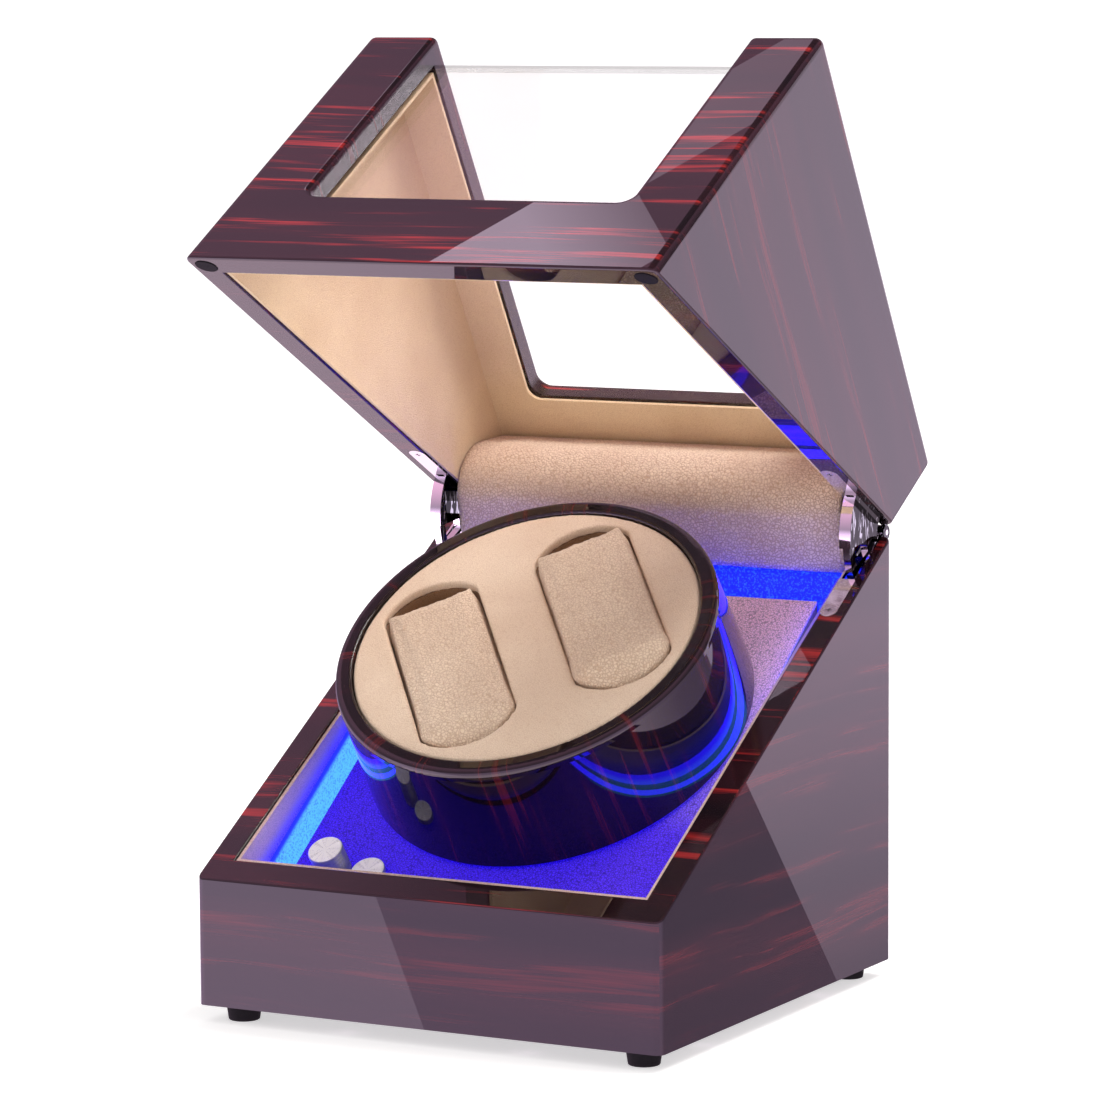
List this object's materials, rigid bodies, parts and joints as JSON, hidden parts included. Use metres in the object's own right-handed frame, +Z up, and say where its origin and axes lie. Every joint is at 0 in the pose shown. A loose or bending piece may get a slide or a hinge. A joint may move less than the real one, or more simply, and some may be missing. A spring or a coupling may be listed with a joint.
{
  "type": "watch winder box",
  "caption": "Square gloss wood box with a sloping hinged glazed lid over a tilted, geared turntable that holds watches on pillows and is lit from below.",
  "frame": {"origin": "centre of the box footprint on the surface it stands on", "axes": "+X to the right of someone facing the front, +Y to the back where the hinges are, +Z up; the lid is drawn open"},
  "size_m": [0.18, 0.2147, 0.336],
  "materials": {
    "lacquered_wood": "dark striped veneer under clear piano gloss lacquer",
    "plain_board": "bare fibreboard",
    "black_board": "black painted fibreboard",
    "lining": "fine grained suede-like leatherette on board",
    "pad_leather": "soft grained leatherette over foam",
    "clear_pane": "clear, polished",
    "chrome": "mirror chrome plating",
    "steel": "bright zinc",
    "knob_metal": "turned, brushed across the top",
    "brass": "turned",
    "black_plastic": "moulded",
    "gear_nylon": "natural nylon",
    "rubber": "matt black",
    "circuit_board": "solder mask",
    "light_tape": "flexible tape with blue light chips"
  },
  "bodies": {
    "base": {"base_case": "lacquered_wood", "base_linings": "lining", "board_posts": "black_plastic", "bottom_panel": "black_board", "bulkhead": "plain_board", "cheek_left": "plain_board", "cheek_right": "plain_board", "control_board": "circuit_board", "feet": "rubber", "floor_board": "plain_board", "floor_lining": "lining", "gearbox_low_plate": "steel", "gearbox_pillars": "steel", "gearbox_top_plate": "steel", "glow_linings": "lining", "hinge_base_leaf_left": "chrome", "hinge_base_leaf_right": "chrome", "hinge_pins": "chrome", "idler_pin": "steel", "inlet_nut": "brass", "led_tape_back": "light_tape", "led_tape_left": "light_tape", "led_tape_right": "light_tape", "light_switch": "black_plastic", "machine_screws": "steel", "mode_switch": "black_plastic", "motor": "steel", "power_inlet": "black_plastic", "spindle_bush_lower": "brass", "spindle_bush_upper": "brass", "wood_screws": "steel"},
    "lid": {"hinge_lid_leaf_left": "chrome", "hinge_lid_leaf_right": "chrome", "hinge_screws_lid": "chrome", "lid_shell": "lacquered_wood", "lid_bumpers": "rubber", "window_pane_front": "clear_pane", "window_pane_top": "clear_pane", "lid_linings": "lining", "back_curtain": "lining"},
    "turntable": {"drum_shell": "lacquered_wood", "rim_ring": "lacquered_wood", "face_board": "plain_board", "face_pad": "pad_leather", "cup_left": "lining", "cup_right": "lining", "turntable_hub": "gear_nylon", "hub_screws": "steel", "spindle": "steel", "spindle_clip": "steel", "output_gear": "gear_nylon"},
    "pillow_left": {"pillow_left_pad": "pad_leather", "pillow_left_core": "black_plastic"},
    "pillow_right": {"pillow_right_pad": "pad_leather", "pillow_right_core": "black_plastic"},
    "mode_knob": {"mode_knob": "knob_metal"},
    "light_button": {"light_button": "knob_metal"},
    "idler": {"idler_gear": "gear_nylon"},
    "motor_rotor": {"motor_pinion": "steel"}
  },
  "joints": [
    {"name": "lid_hinge", "type": "hinge", "parent": "base", "child": "lid", "pos_m": [0, 0.0934, 0.1595], "axis": [-1, 0, 0], "range_deg": [-60, 0], "deforming": ["back_curtain"]},
    {"name": "turntable_spin", "type": "hinge", "parent": "base", "child": "turntable", "pos_m": [0, 0.0085, 0.0954], "axis": [0, -0.5864, 0.81], "continuous": true},
    {"name": "pillow_left_lift", "type": "slide", "parent": "turntable", "child": "pillow_left", "axis": [0, -0.5864, 0.81], "range_m": [0, 0.055]},
    {"name": "pillow_right_lift", "type": "slide", "parent": "turntable", "child": "pillow_right", "axis": [0, -0.5864, 0.81], "range_m": [0, 0.055]},
    {"name": "mode_knob_turn", "type": "hinge", "parent": "base", "child": "mode_knob", "pos_m": [-0.0547, -0.05549, 0.04908], "axis": [0, -0.5864, 0.81], "range_deg": [-120, 0]},
    {"name": "light_button_press", "type": "slide", "parent": "base", "child": "light_button", "axis": [0, 0.5864, -0.81], "range_m": [0, 0.0012], "stiffness_N_per_m": 800, "springref_m": -0.0006},
    {"name": "idler_spin", "type": "hinge", "parent": "base", "child": "idler", "pos_m": [0.0288, 0.0085, 0.0954], "axis": [0, -0.5864, 0.81], "continuous": true},
    {"name": "motor_spin", "type": "hinge", "parent": "base", "child": "motor_rotor", "pos_m": [0.0408, -0.00834, 0.08321], "axis": [0, -0.5864, 0.81], "continuous": true}
  ],
  "couplings": [
    {"joint": "idler_spin", "follows": "turntable_spin", "ratio": -5},
    {"joint": "motor_spin", "follows": "turntable_spin", "ratio": 20}
  ]
}
